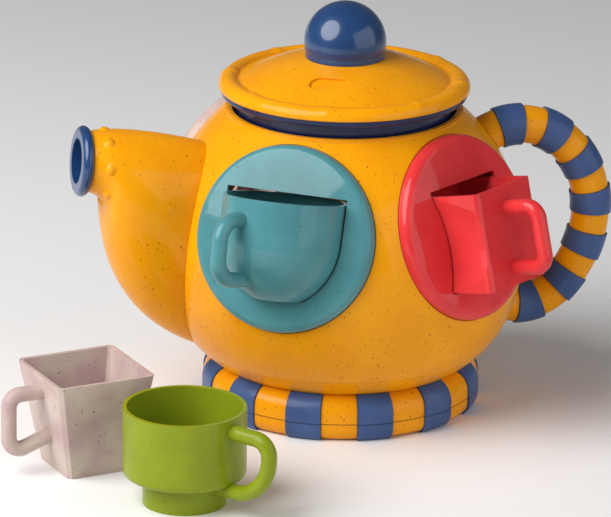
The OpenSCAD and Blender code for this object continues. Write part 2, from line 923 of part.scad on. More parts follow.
// Arcs of the pot handle, each as [start, heading, radius, turn, where it starts along the
// handle]. One chain leads up and one leads down from the outermost point of the handle.
handle_w = [body_r + handle_out, handle_z];
handle_up = chain(handle_w, 90, [[handle_upper_r, handle_upper_turn],
                                 [handle_top_r, handle_top_turn]]);
handle_down = chain(handle_w, -90, [[handle_lower_r, -handle_lower_turn],
                                    [handle_foot_r, -handle_foot_turn]]);

function arc_length(r, turn) = r * abs(turn) * PI / 180;
function arc_turn(r, l) = l / r * 180 / PI;
function arc_middle(p, h, s) = p + s[0] * sign(s[1]) * [-sin(h), cos(h)];
function turned(d, a) = [d[0] * cos(a) - d[1] * sin(a), d[0] * sin(a) + d[1] * cos(a)];
function chain(p, h, steps, at = 0) =
    len(steps) == 0 ? []
    : let (s = steps[0], c = arc_middle(p, h, s), rest = [for (i = [1:1:len(steps) - 1]) steps[i]])
      concat([[p, h, s, at]],
             chain(c + turned(p - c, s[1]), h + s[1], rest, at + arc_length(s[0], s[1])));
function grip_at(i) = grip_first - grip_pitch * (i - 1);

// Stretch of the handle from low to high, as lengths along it with up as positive, drawn on the
// arc that holds the length at. The child is its section.
module handle_piece(at, low, high) {
    runs = at > 0 ? handle_up : handle_down;
    run = abs(at) < runs[1][3] ? runs[0] : runs[1];
    s = run[2];
    c = arc_middle(run[0], run[1], s);
    base = run[1] - sign(s[1]) * 90;
    t1 = base + sign(s[1]) * arc_turn(s[0], (at > 0 ? low : -high) - run[3]);
    t2 = base + sign(s[1]) * arc_turn(s[0], (at > 0 ? high : -low) - run[3]);
    translate([c[0], 0, c[1]]) rotate([90, 0, 0]) rotate(min(t1, t2))
        rotate_extrude(angle = abs(t2 - t1)) translate([s[0], 0]) children();
}

// Stretches of the handle that reach through the wall of the ball, with the child as section.
module handle_stubs(back) {
    high = grip_at(1) + grip_band_l / 2 + over;
    low = grip_at(grip_count) - grip_band_l / 2 - over;
    handle_piece(high, max(high, handle_top_l - back), handle_top_l + handle_tail) children();
    handle_piece(low, -handle_foot_l - handle_tail, min(low, back - handle_foot_l)) children();
}

// Half of a round section with a round hole, on side -1 or 1 of the XZ plane.
module half_section(r, hole_r, side) {
    difference() {
        circle(r = r);
        circle(r = hole_r);
        translate([-far, side < 0 ? -far : 0]) square([2 * far, far]);
    }
}

// One half of the handle: tubes between the bands, thinner sleeves under them and at the ends.
module handle_half(side) {
    r = handle_d / 2;
    hole_r = r - handle_wall;
    color(orange) {
        difference() {
            for (i = [0:grip_count]) {
                high = i == 0 ? handle_top_l + handle_tail : grip_at(i) - grip_band_l / 2 + over;
                low = i == grip_count ? -handle_foot_l - handle_tail
                                      : grip_at(i + 1) + grip_band_l / 2 - over;
                at = i == 0 ? low : i == grip_count ? high : (low + high) / 2;
                handle_piece(at, low, high) half_section(r, hole_r, side);
            }
            for (i = [1:grip_count])
                handle_piece(grip_at(i), grip_at(i) - grip_band_l / 2, grip_at(i) + grip_band_l / 2)
                    circle(r = handle_d);
            ball_space(fit);
        }
        for (i = [1:grip_count])
            handle_piece(grip_at(i), grip_at(i) - grip_band_l / 2 - over,
                         grip_at(i) + grip_band_l / 2 + over)
                half_section(r - grip_groove, hole_r + sleeve_ease, side);
        handle_stubs(stub_back) half_section(r - handle_step, hole_r + sleeve_ease, side);
    }
}

module handle_front() {
    handle_half(-1);
}

module handle_rear() {
    handle_half(1);
}

module handle_band(i) {
    color(band_blue)
        handle_piece(grip_at(i), grip_at(i) - grip_band_l / 2 + fit,
                     grip_at(i) + grip_band_l / 2 - fit)
            difference() {
                circle(r = handle_d / 2 + band_rise);
                circle(r = handle_d / 2 - grip_groove + fit);
            }
}

// Place of the mouth: +Z out along its axis.
module at_mouth() {
    translate([-spout_reach, 0, mouth_z]) rotate([0, mouth_lean - 90, 0]) children();
}

module spout_ring() {
    round_r = mouth_ring_t / 2;
    color(band_blue) at_mouth() difference() {
        union() {
            rotate_extrude() {
                translate([0, -round_r]) square([mouth_ring_r - round_r, mouth_ring_t]);
                translate([mouth_ring_r - round_r, 0]) circle(r = round_r);
            }
            translate([0, 0, -sleeve_l])
                cylinder(r = spout_neck_r - spout_wall - fit, h = sleeve_l);
        }
        translate([0, 0, wall - sleeve_l]) cylinder(r = mouth_hole_r, h = far);
    }
}

// Points of the side view of the spout, in the XZ plane.
spout_size = [-spout_reach, mouth_z];
mouth_out = [-cos(mouth_lean), sin(mouth_lean)];
mouth_up = [sin(mouth_lean), cos(mouth_lean)];
mouth_back = spout_size - mouth_out * mouth_ring_t / 2;

function scaled(shares) = [for (p = shares) [p[0] * spout_size[0], p[1] * spout_size[1]]];
function bezier(p, t) =
    len(p) == 1 ? p[0] : bezier([for (i = [0:len(p) - 2]) p[i] * (1 - t) + p[i + 1] * t], t);
function spout_top(t) =
    bezier(concat([mouth_back + mouth_up * spout_neck_r], scaled(spout_top_shares)), t);
function spout_chin() =
    concat([mouth_back - mouth_up * spout_neck_r], scaled(spout_chin_shares));
function spout_low(t) =
    t < spout_chin_share
    ? bezier(spout_chin(), t / spout_chin_share)
    : bezier(concat([spout_chin()[2]], scaled(spout_belly_shares)),
             (t - spout_chin_share) / (1 - spout_chin_share));
function spout_half(t) =
    spout_neck_r + (spout_half_w - spout_neck_r) * sin(90 * min(1, t / spout_flare_share));

// Point round the spout on side -1 or 1, at turn a from its top, drawn in by inset.
function spout_point(t, a, inset, side) =
    let (top = spout_top(t), low = spout_low(t),
         p = (top + low) / 2 + unit(top - low) * (norm(top - low) / 2 - inset) * cos(a))
    [p[0], side * (spout_half(t) - inset) * sin(a), p[1]];
function spout_half_ring(t, inset, side) =
    [for (j = [0:spout_sides]) spout_point(t, 180 * j / spout_sides, inset, side)];
function backward(v) = [for (i = [len(v) - 1:-1:0]) v[i]];

// One half of the wall of the spout, from the mouth into the ball, as a closed loft.
module spout_loft(side) {
    rings = [for (i = [0:spout_steps])
        concat(spout_half_ring(i / spout_steps, 0, side),
               backward(spout_half_ring(i / spout_steps, spout_wall, side)))];
    n = 2 * (spout_sides + 1);
    last = spout_steps * n;
    caps = [for (j = [0:spout_sides - 1])
        each [[j, j + 1, n - 2 - j, n - 1 - j],
              [last + n - 1 - j, last + n - 2 - j, last + j + 1, last + j]]];
    sides = [for (i = [0:spout_steps - 1], j = [0:n - 1])
        let (k = (j + 1) % n)
        each [[i * n + j, (i + 1) * n + j, (i + 1) * n + k], [i * n + j, (i + 1) * n + k, i * n + k]]];
    faces = concat(caps, sides);
    polyhedron(points = [for (ring = rings) each ring],
               faces = side > 0 ? [for (f = faces) backward(f)] : faces, convexity = 6);
}

// Tongue of one half of the spout that hooks through the wall of the ball.
module spout_tongue(side, gap) {
    translate([-body_r - tongue_root, side * tongue_y - tongue_t / 2 - gap,
               tongue_z - tongue_h / 2 - gap])
        cube([tongue_root + tongue_l, tongue_t + 2 * gap, tongue_h + 2 * gap]);
}

// Round nubs behind the mouth, cut to one side of the seam.
module spout_nubs(side) {
    intersection() {
        for (i = [0:nub_count / 2])
            translate(spout_point(nub_share, 360 * i / nub_count, nub_in, side)) sphere(r = nub_r);
        translate([-far, side < 0 ? -far : 0, 0]) cube([far, far, far]);
    }
}

module spout_shell(side) {
    color(orange) {
        difference() {
            spout_loft(side);
            ball_space(fit);
        }
        spout_tongue(side, 0);
        spout_nubs(side);
    }
}

module spout_front() {
    spout_shell(-1);
}

module spout_rear() {
    spout_shell(1);
}

body_front();
body_rear();
shell_screws();
base_ring_upper();
base_ring_lower();
base_bands_upper();
base_bands_lower();
base_plate();
base_screws();
lid_cover();
lid_collar();
lid_knob();
lid_screws();
knob_screw();
disc_teal();
disc_red();
disc_cream();
disc_green();
cup_teal();
cup_red();
cup_cream();
cup_green();
spout_front();
spout_rear();
spout_ring();
handle_front();
handle_rear();
handle_band(1);  // handle_band_1
handle_band(2);  // handle_band_2
handle_band(3);  // handle_band_3
handle_band(4);  // handle_band_4
handle_band(5);  // handle_band_5
handle_band(6);  // handle_band_6
handle_band(7);  // handle_band_7
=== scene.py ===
"""Looks of a toy teapot that is a shape sorter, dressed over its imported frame.

The pot, its lid and its four posting cups are moulded from speckled plastic. Lengths are in
metres in the frame's own axes: +Z up, the handle to +X, the spout to -X, the front to -Y.
"""

import logging
import math
from dataclasses import dataclass, field, replace
from enum import Enum

import bmesh
import bpy
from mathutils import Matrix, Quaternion, Vector


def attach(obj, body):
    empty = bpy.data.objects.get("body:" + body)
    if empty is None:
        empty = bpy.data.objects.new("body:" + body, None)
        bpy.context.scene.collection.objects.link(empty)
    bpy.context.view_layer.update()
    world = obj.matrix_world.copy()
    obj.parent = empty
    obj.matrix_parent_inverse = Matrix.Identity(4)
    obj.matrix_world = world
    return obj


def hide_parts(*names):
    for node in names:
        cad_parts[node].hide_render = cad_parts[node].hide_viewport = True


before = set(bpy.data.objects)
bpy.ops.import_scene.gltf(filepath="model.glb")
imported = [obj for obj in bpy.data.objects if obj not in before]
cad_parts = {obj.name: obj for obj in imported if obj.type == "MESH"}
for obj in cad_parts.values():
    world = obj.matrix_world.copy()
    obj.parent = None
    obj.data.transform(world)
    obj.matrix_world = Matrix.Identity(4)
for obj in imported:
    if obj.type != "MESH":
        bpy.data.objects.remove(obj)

log = logging.getLogger("teapot")
MM = 0.001
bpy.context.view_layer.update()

Colour = tuple[float, float, float]
Point = tuple[float, float, float]

# Parting line between the two halves of the base ring, drawn as a thin dark line of painted shade
# in the colour.
PARTING_HEIGHT = 8.5 * MM
PARTING_CORE = 0.12 * MM
PARTING_EDGE = 0.34 * MM
PARTING_SHADE_STRENGTH = 0.85
# Curve of a screen's colours (sRGB): a straight foot, then a power.
SCREEN_WHITE = 255
SCREEN_KNEE = 0.04045
SCREEN_FOOT = 12.92
SCREEN_SHIFT = 0.055
SCREEN_POWER = 2.4
# Inputs and output of a Mix node that carry colours.
MIX_FIRST, MIX_SECOND, MIX_RESULT = 6, 7, 2
BEVEL_SAMPLES = 6
WELD = 1e-7
MID_GREY = (0.5, 0.5, 0.5)
WHITE = (1.0, 1.0, 1.0)
UP = (0.0, 0.0, 1.0)
HALF_TURN_DEGREES = 180
FULL_TURN = 2 * math.pi


class Slot(Enum):
    """Material slots of the record, and a darker navy that only the lid's collar wears, as painted
    shade for its shadow under the flange.
    """

    ORANGE = "orange_bioplastic"
    DENIM = "denim_bioplastic"
    NAVY = "navy_bioplastic"
    # A darker navy as painted shade, worn by the lid's collar in the shadow of the flange.
    DEEP_NAVY = "deep_navy_bioplastic"
    TEAL = "teal_bioplastic"
    RED = "red_bioplastic"
    CREAM = "cream_bioplastic"
    GREEN = "green_bioplastic"
    STEEL = "screw_steel"


class Side(Enum):
    """The two halves that the pot is moulded in, as the sign of their Y."""

    FRONT = -1
    REAR = 1


def tone(red: int, green: int, blue: int) -> Colour:
    """Turn a screen colour of 0 to 255 into the linear light that a shader takes.

    Args:
        red: Red as the screen shows it.
        green: Green as the screen shows it.
        blue: Blue as the screen shows it.

    Returns:
        The colour as linear shares of light.
    """
    shares = [c / SCREEN_WHITE for c in (red, green, blue)]
    return tuple(c / SCREEN_FOOT if c <= SCREEN_KNEE
                 else ((c + SCREEN_SHIFT) / (1 + SCREEN_SHIFT)) ** SCREEN_POWER for c in shares)


class Wire:
    """An output of a node, on which sums can be written."""

    def __init__(self, graph: "Graph", socket: bpy.types.NodeSocket) -> None:
        """Hold the graph that the socket belongs to, and the socket."""
        self.graph = graph
        self.socket = socket

    def _sum(self, operation: str, first: "Term", second: "Term") -> "Wire":
        """Add one Math node for two terms.

        Args:
            operation: What the node works out.
            first: The left term.
            second: The right term.

        Returns:
            The result.
        """
        made = self.graph.node("ShaderNodeMath", {0: first, 1: second}, operation=operation)
        return self.graph.out(made)

    def __add__(self, other: "Term") -> "Wire":
        """Sum of this and another term."""
        return self._sum("ADD", self, other)

    def __radd__(self, other: "Term") -> "Wire":
        """Sum of a number and this."""
        return self._sum("ADD", other, self)

    def __sub__(self, other: "Term") -> "Wire":
        """This less another term."""
        return self._sum("SUBTRACT", self, other)

    def __rsub__(self, other: "Term") -> "Wire":
        """A number less this."""
        return self._sum("SUBTRACT", other, self)

    def __mul__(self, other: "Term") -> "Wire":
        """Product of this and another term."""
        return self._sum("MULTIPLY", self, other)

    def __rmul__(self, other: "Term") -> "Wire":
        """Product of a number and this."""
        return self._sum("MULTIPLY", other, self)

    def __truediv__(self, other: "Term") -> "Wire":
        """This over another term."""
        return self._sum("DIVIDE", self, other)

    def __lt__(self, other: "Term") -> "Wire":
        """One where this is under another term, and zero elsewhere."""
        return self._sum("LESS_THAN", self, other)


Term = Wire | float


class Graph:
    """A node tree, of a material or of geometry, in which one method makes any node."""

    def __init__(self, tree: bpy.types.NodeTree) -> None:
        """Start from an empty tree."""
        self.tree = tree
        self.tree.nodes.clear()

    def node(self, kind: str, inputs: dict | None = None,
             **settings: object) -> bpy.types.Node:
        """Make a node of any type.

        Args:
            kind: The node's type.
            inputs: Value, wire or socket for each input, by the input's name or number.
            **settings: The node's own settings, which are set first.

        Returns:
            The node.
        """
        made = self.tree.nodes.new(kind)
        for name, value in settings.items():
            setattr(made, name, value)
        for name, value in (inputs or {}).items():
            self.feed(made.inputs[name], value)
        return made

    def feed(self, socket: bpy.types.NodeSocket, value: object) -> None:
        """Link a wire to a socket, or set the socket to a number, vector or colour."""
        if isinstance(value, Wire):
            self.tree.links.new(value.socket, socket)
        elif socket.type == "RGBA":
            socket.default_value = (*value, 1.0)
        else:
            socket.default_value = value

    def out(self, node: bpy.types.Node, name: str | int = 0) -> Wire:
        """Wire of one output of a node, by its name or number."""
        return Wire(self, node.outputs[name])

    def ease(self, value: Term, low: Term, high: Term) -> Wire:
        """Smooth step.

        Args:
            value: What is compared.
            low: Where the result is still zero.
            high: Where the result is one.

        Returns:
            A share from 0 to 1.
        """
        made = self.node("ShaderNodeMapRange", {"Value": value, "From Min": low, "From Max": high},
                         interpolation_type="SMOOTHSTEP")
        return self.out(made, "Result")

    def blend(self, share: Term, first: object, second: object) -> Wire:
        """Mix two colours.

        Args:
            share: Share of the second colour.
            first: Colour at a share of 0.
            second: Colour at a share of 1.

        Returns:
            The mixed colour.
        """
        made = self.node("ShaderNodeMix", {0: share, MIX_FIRST: first, MIX_SECOND: second},
                         data_type="RGBA")
        return self.out(made, MIX_RESULT)


@dataclass(frozen=True)
class Specks:
    """One size of bran or fibre speck in a plastic.

    The pitch is the mean distance between the places where a speck may lie, the share says how
    many of them hold one, and small and large are its radius as shares of the pitch. Soft is the
    share of the radius over which its edge fades, low_share raises the share near the floor, and
    the faintest speck has that share of the strength.
    """

    colour: Colour
    pitch: float
    share: float
    small: float
    large: float
    strength: float
    stretch: float = 1.0
    turn: Point = (0.0, 0.0, 0.0)
    soft: float = 0.25
    low_share: float = 1.0
    settled_below: float = 20 * MM
    even_above: float = 95 * MM
    faintest: float = 0.45

    def mask(self, graph: Graph, place: Wire, height: Wire | None) -> Wire:
        """Where the specks show.

        Args:
            graph: Tree of the material.
            place: Position on the piece, slightly warped.
            height: Height over the floor, where the specks settle low, or None.

        Returns:
            Share of the speck's colour.
        """
        scale = (1.0, 1.0, 1.0 / self.stretch)
        turned = graph.node("ShaderNodeMapping", {"Vector": place, "Rotation": self.turn,
                                                  "Scale": scale})
        cells = graph.node("ShaderNodeTexVoronoi", {"Vector": graph.out(turned),
                                                    "Scale": 1.0 / self.pitch})
        chance = graph.node("ShaderNodeSeparateColor", {0: graph.out(cells, "Color")})
        radius = self.small + (self.large - self.small) * graph.out(chance, "Green")
        spot = graph.ease(graph.out(cells, "Distance"), radius * (1 + self.soft),
                          radius * (1 - self.soft))
        limit: Term = self.share
        if height is not None:
            low = 1 - graph.ease(height, self.settled_below, self.even_above)
            limit = self.share * (1 + (self.low_share - 1) * low)
        depth = self.faintest + (1 - self.faintest) * graph.out(chance, "Blue")
        return spot * (graph.out(chance, "Red") < limit) * depth * self.strength


@dataclass(frozen=True)
class Plastic:
    """A moulded plastic: its colour, its cloudiness, its specks and its polish."""

    slot: Slot
    colour: Colour
    cloud: Colour
    specks: tuple[Specks, ...]
    roughness: float = 0.34
    mirror: float = 0.06
    coat: float = 0.34
    coat_roughness: float = 0.05
    grain: float = 0.05
    grain_pitch: float = 2.4 * MM
    grain_depth: float = 0.25 * MM
    edge: float = 0.35 * MM
    cloud_pitch: float = 16 * MM
    cloud_edges: tuple[float, float] = (0.32, 0.7)
    cloud_detail: float = 4.0
    grain_detail: float = 2.0
    wobble_detail: float = 1.0
    wobble_pitch: float = 1.1 * MM
    wobble_reach: float = 0.9 * MM
    uneven: float = 0.08
    dull_specks: float = 0.12
    index: float = 1.48
    coat_index: float = 1.45
    settles: bool = False
    # Colour of the painted shade line along the base ring's parting line, or None.
    parting: Colour | None = None

    def material(self) -> bpy.types.Material:
        """Build the material.

        Returns:
            The material, named after its slot.
        """
        made = bpy.data.materials.new(self.slot.value)
        made.use_nodes = True
        graph = Graph(made.node_tree)
        place = graph.out(graph.node("ShaderNodeTexCoord"), "Object")
        warped = self._warped(graph, place)
        level = graph.out(graph.node("ShaderNodeSeparateXYZ", {0: place}), "Z")
        height = level if self.settles else None

        clouds = graph.node("ShaderNodeTexNoise", {
            "Vector": place, "Detail": self.cloud_detail, "Scale": 1.0 / self.cloud_pitch})
        share = graph.ease(graph.out(clouds, 0), *self.cloud_edges)
        shown = graph.blend(share, self.colour, self.cloud)
        dirt: Term = 0.0
        for layer in self.specks:
            spots = layer.mask(graph, warped, height)
            shown = graph.blend(spots, shown, layer.colour)
            dirt = spots + dirt
        # Painted shade: a thin dark line at the parting height, standing in for the shadow in the
        # groove between the ring's halves.
        if self.parting:
            away = graph.out(graph.node("ShaderNodeMath", {0: level - PARTING_HEIGHT},
                                        operation="ABSOLUTE"))
            line = 1 - graph.ease(away, PARTING_CORE, PARTING_EDGE)
            shown = graph.blend(line * PARTING_SHADE_STRENGTH, shown, self.parting)

        fine = graph.node("ShaderNodeTexNoise", {
            "Vector": place, "Detail": self.grain_detail, "Scale": 1.0 / self.grain_pitch})
        rough = (self.roughness - self.uneven / 2 + self.uneven * graph.out(clouds, 0)
                 + self.dull_specks * dirt)
        eased = graph.node("ShaderNodeBevel", {"Radius": self.edge}, samples=BEVEL_SAMPLES)
        bump = graph.node("ShaderNodeBump", {"Strength": self.grain,
                                             "Distance": self.grain_depth,
                                             "Height": graph.out(fine, 0),
                                             "Normal": graph.out(eased)})
        shader = graph.node("ShaderNodeBsdfPrincipled", {
            "Base Color": shown, "Roughness": rough, "Normal": graph.out(bump),
            "Coat Weight": self.coat, "Coat Roughness": self.coat_roughness,
            "Coat IOR": self.coat_index, "IOR": self.index, "Specular IOR Level": self.mirror})
        graph.node("ShaderNodeOutputMaterial", {"Surface": graph.out(shader)})
        return made

    def _warped(self, graph: Graph, place: Wire) -> Wire:
        """Position moved about a little, so that no speck is a clean round dot.

        Args:
            graph: Tree of the material.
            place: Position on the piece.

        Returns:
            The moved position.
        """
        wobble = graph.node("ShaderNodeTexNoise", {
            "Vector": place, "Detail": self.wobble_detail, "Scale": 1.0 / self.wobble_pitch})
        centred = graph.node("ShaderNodeVectorMath",
                             {0: graph.out(wobble, "Color"), 1: MID_GREY}, operation="SUBTRACT")
        shift = graph.node("ShaderNodeVectorMath",
                           {0: graph.out(centred), "Scale": self.wobble_reach},
                           operation="SCALE")
        return graph.out(graph.node("ShaderNodeVectorMath", {0: place, 1: graph.out(shift)},
                                    operation="ADD"))


@dataclass(frozen=True)
class Steel:
    """Zinc plated steel of the screws, brushed round by their driver."""

    slot: Slot = Slot.STEEL
    colour: Colour = tone(190, 190, 186)
    dull: Colour = tone(140, 142, 146)
    blotch_pitch: float = 2.6 * MM
    blotch_edges: tuple[float, float] = (0.35, 0.65)
    blotch_detail: float = 5.0
    scuff_pitch: float = 0.4 * MM
    scuff_detail: float = 2.0
    scuff_depth: float = 0.1 * MM
    scuff: float = 0.15
    roughness: float = 0.28
    dull_rise: float = 0.2

    def material(self) -> bpy.types.Material:
        """Build the material.

        Returns:
            The material, named after its slot.
        """
        made = bpy.data.materials.new(self.slot.value)
        made.use_nodes = True
        graph = Graph(made.node_tree)
        place = graph.out(graph.node("ShaderNodeTexCoord"), "Object")
        blotches = graph.node("ShaderNodeTexNoise", {
            "Vector": place, "Detail": self.blotch_detail, "Scale": 1.0 / self.blotch_pitch})
        share = graph.ease(graph.out(blotches, 0), *self.blotch_edges)
        scuffs = graph.node("ShaderNodeTexNoise", {
            "Vector": place, "Detail": self.scuff_detail, "Scale": 1.0 / self.scuff_pitch})
        bump = graph.node("ShaderNodeBump", {"Strength": self.scuff,
                                             "Distance": self.scuff_depth,
                                             "Height": graph.out(scuffs, 0)})
        shader = graph.node("ShaderNodeBsdfPrincipled", {
            "Base Color": graph.blend(share, self.colour, self.dull), "Metallic": 1.0,
            "Roughness": self.roughness + self.dull_rise * share, "Normal": graph.out(bump)})
        graph.node("ShaderNodeOutputMaterial", {"Surface": graph.out(shader)})
        return made


BROWN = tone(92, 46, 22)
DARK = tone(52, 30, 24)

ORANGE = Plastic(
    Slot.ORANGE, colour=tone(240, 160, 10), cloud=tone(236, 153, 9), settles=True,
    # Painted shade colour of the parting line's groove.
    parting=tone(120, 62, 16),
    specks=(
        Specks(tone(206, 116, 12), pitch=3.4 * MM, share=0.5, small=0.09, large=0.18,
               strength=0.6, soft=0.5, turn=(0.4, 0.9, 0.2), low_share=1.5),
        Specks(BROWN, pitch=1.8 * MM, share=0.34, small=0.1, large=0.19, strength=0.9,
               stretch=1.5, turn=(0.7, 0.2, 1.1), low_share=2.0),
        Specks(tone(70, 38, 22), pitch=5.0 * MM, share=0.2, small=0.05, large=0.085,
               strength=0.95, stretch=1.3, turn=(1.2, 0.5, 0.3), low_share=1.5),
    ))
DENIM = Plastic(
    Slot.DENIM, colour=tone(66, 92, 142), cloud=tone(56, 80, 128), roughness=0.42, coat=0.25,
    # The last colour here is the painted shade of the parting line.
    coat_roughness=0.18, grain=0.12, edge=0.6 * MM, mirror=0.2, parting=tone(26, 30, 52),
    specks=(
        Specks(tone(36, 48, 84), pitch=3.6 * MM, share=0.2, small=0.05, large=0.11,
               strength=0.5),
        Specks(tone(104, 122, 160), pitch=4.4 * MM, share=0.14, small=0.04, large=0.08,
               strength=0.4, turn=(0.6, 0.3, 0.9)),
    ))
NAVY = Plastic(
    Slot.NAVY, colour=tone(28, 64, 112), cloud=tone(24, 57, 102), roughness=0.3, mirror=0.3,
    coat=0.8, coat_roughness=0.05, grain=0.03,
    specks=(
        Specks(tone(86, 120, 166), pitch=4.6 * MM, share=0.14, small=0.035, large=0.07,
               strength=0.4),
        Specks(tone(14, 30, 56), pitch=3.8 * MM, share=0.16, small=0.04, large=0.09,
               strength=0.5, turn=(0.6, 0.3, 0.9)),
    ))
TEAL = Plastic(
    Slot.TEAL, colour=tone(79, 140, 146), cloud=tone(73, 131, 138), coat=0.62,
    specks=(
        Specks(tone(46, 92, 98), pitch=2.4 * MM, share=0.3, small=0.08, large=0.15,
               strength=0.65),
        Specks(DARK, pitch=2.6 * MM, share=0.3, small=0.07, large=0.14, strength=0.85,
               turn=(0.6, 0.3, 0.9)),
        Specks(BROWN, pitch=2.9 * MM, share=0.24, small=0.07, large=0.13, strength=0.75,
               turn=(1.1, 0.2, 0.5)),
    ))
RED = Plastic(
    Slot.RED, colour=tone(224, 58, 60), cloud=tone(216, 51, 54), coat=0.62,
    specks=(
        Specks(tone(132, 20, 30), pitch=3.6 * MM, share=0.22, small=0.05, large=0.11,
               strength=0.55),
        Specks(tone(84, 20, 24), pitch=5.6 * MM, share=0.12, small=0.04, large=0.07,
               strength=0.7, turn=(0.6, 0.3, 0.9)),
    ))
CREAM = Plastic(
    Slot.CREAM, colour=tone(204, 186, 174), cloud=tone(188, 160, 160), roughness=0.4, coat=0.3,
    coat_roughness=0.12, grain=0.08,
    specks=(
        Specks(tone(150, 112, 92), pitch=1.9 * MM, share=0.42, small=0.09, large=0.18,
               strength=0.6, soft=0.5),
        Specks(tone(92, 54, 46), pitch=2.2 * MM, share=0.34, small=0.08, large=0.16,
               strength=0.95, turn=(0.6, 0.3, 0.9)),
        Specks(DARK, pitch=3.8 * MM, share=0.26, small=0.06, large=0.12, strength=1.0,
               stretch=1.4, turn=(0.2, 1.3, 0.5)),
    ))
GREEN = Plastic(
    Slot.GREEN, colour=tone(137, 151, 30), cloud=tone(130, 142, 28),
    specks=(
        Specks(tone(96, 112, 24), pitch=2.8 * MM, share=0.34, small=0.08, large=0.16,
               strength=0.6, soft=0.5),
        Specks(tone(104, 74, 24), pitch=3.4 * MM, share=0.24, small=0.07, large=0.13,
               strength=0.75, turn=(0.6, 0.3, 0.9)),
    ))
# A darker copy of the navy: painted shade for the lid's collar, which lies in shadow under the
# flange.
DEEP_NAVY = replace(NAVY, slot=Slot.DEEP_NAVY, colour=tone(18, 34, 78), cloud=tone(15, 29, 68),
                    mirror=0.2, coat=0.5)
FINISHES = (ORANGE, DENIM, NAVY, DEEP_NAVY, TEAL, RED, CREAM, GREEN, Steel())

DRESSED = {
    Slot.ORANGE: ("body_front", "body_rear", "base_ring_upper", "base_ring_lower", "base_plate",
                  "lid_cover", "spout_front", "spout_rear", "handle_front", "handle_rear"),
    Slot.DENIM: ("base_bands_upper", "base_bands_lower",
                 *(f"handle_band_{i}" for i in range(1, 8))),
    Slot.NAVY: ("lid_knob", "spout_ring"),
    Slot.DEEP_NAVY: ("lid_collar",),
    Slot.TEAL: ("disc_teal", "cup_teal"),
    Slot.RED: ("disc_red", "cup_red"),
    Slot.CREAM: ("disc_cream", "cup_cream"),
    Slot.GREEN: ("disc_green", "cup_green"),
    Slot.STEEL: ("shell_screws", "base_screws", "lid_screws", "knob_screw"),
}


class Wardrobe:
    """All the materials, by their slot."""

    def __init__(self) -> None:
        """Build every material once."""
        self.materials = {f.slot: f.material() for f in FINISHES}

    def dress(self, thing: bpy.types.Object, slot: Slot) -> None:
        """Give a piece the material of a slot, in place of any it has."""
        thing.data.materials.clear()
        thing.data.materials.append(self.materials[slot])

    def dress_frame(self) -> None:
        """Give every CAD node its material."""
        for slot, names in DRESSED.items():
            for name in names:
                self.dress(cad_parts[name], slot)
                log.info("node %s wears %s", name, slot.value)


def mesh_piece(name: str, points: list[Vector], faces: list[tuple[int, ...]]) -> bpy.types.Object:
    """Make a smooth mesh object at the origin.

    Args:
        name: Name of the piece.
        points: Places of its vertices in the frame.
        faces: Vertex numbers of each face, anticlockwise from outside.

    Returns:
        The object, in the scene.
    """
    mesh = bpy.data.meshes.new(name)
    mesh.from_pydata(points, [], faces)
    shape = bmesh.new()
    shape.from_mesh(mesh)
    bmesh.ops.remove_doubles(shape, verts=shape.verts, dist=WELD)
    bmesh.ops.recalc_face_normals(shape, faces=shape.faces)
    for face in shape.faces:
        face.smooth = True
    shape.to_mesh(mesh)
    shape.free()
    made = bpy.data.objects.new(name, mesh)
    bpy.context.scene.collection.objects.link(made)
    return made


def settled(thing: bpy.types.Object, material: bpy.types.Material) -> bpy.types.Object:
    """Turn what a Geometry Nodes modifier makes into a plain mesh.

    Args:
        thing: Object with the modifier.
        material: Material that the mesh keeps.

    Returns:
        The same object, with the modifier removed.
    """
    sight = bpy.context.evaluated_depsgraph_get()
    mesh = bpy.data.meshes.new_from_object(thing.evaluated_get(sight))
    thing.modifiers.clear()
    thing.data = mesh
    mesh.materials.clear()
    mesh.materials.append(material)
    return thing


class Growth:
    """A Geometry Nodes tree with named inputs, put on an object as a modifier."""

    def __init__(self, name: str) -> None:
        """Make the tree with a mesh input and a mesh output."""
        self.tree = bpy.data.node_groups.new(name, "GeometryNodeTree")
        self.tree.interface.new_socket("Geometry", in_out="INPUT",
                                       socket_type="NodeSocketGeometry")
        self.tree.interface.new_socket("Geometry", in_out="OUTPUT",
                                       socket_type="NodeSocketGeometry")
        self.graph = Graph(self.tree)
        self.values: dict[str, object] = {}
        self.entry: bpy.types.Node | None = None

    def size(self, name: str, value: float | int) -> None:
        """Add a named size to the tree's inputs, with its value."""
        kind = "NodeSocketInt" if isinstance(value, int) else "NodeSocketFloat"
        made = self.tree.interface.new_socket(name, in_out="INPUT", socket_type=kind)
        self.values[made.identifier] = value

    def start(self) -> None:
        """Make the input node, once every size is named."""
        self.entry = self.graph.node("NodeGroupInput")

    def given(self, name: str) -> Wire:
        """Wire of a named input."""
        return self.graph.out(self.entry, name)

    def finish(self, shape: Wire, material: bpy.types.Material) -> None:
        """End the tree in Realize Instances and Set Material."""
        real = self.graph.node("GeometryNodeRealizeInstances", {"Geometry": shape})
        dressed = self.graph.node("GeometryNodeSetMaterial", {"Geometry": self.graph.out(real)})
        dressed.inputs["Material"].default_value = material
        self.graph.node("NodeGroupOutput", {0: self.graph.out(dressed)})

    def put_on(self, thing: bpy.types.Object) -> None:
        """Add the modifier with its values to an object."""
        modifier = thing.modifiers.new(self.tree.name, "NODES")
        modifier.node_group = self.tree
        for identifier, value in self.values.items():
            modifier[identifier] = value


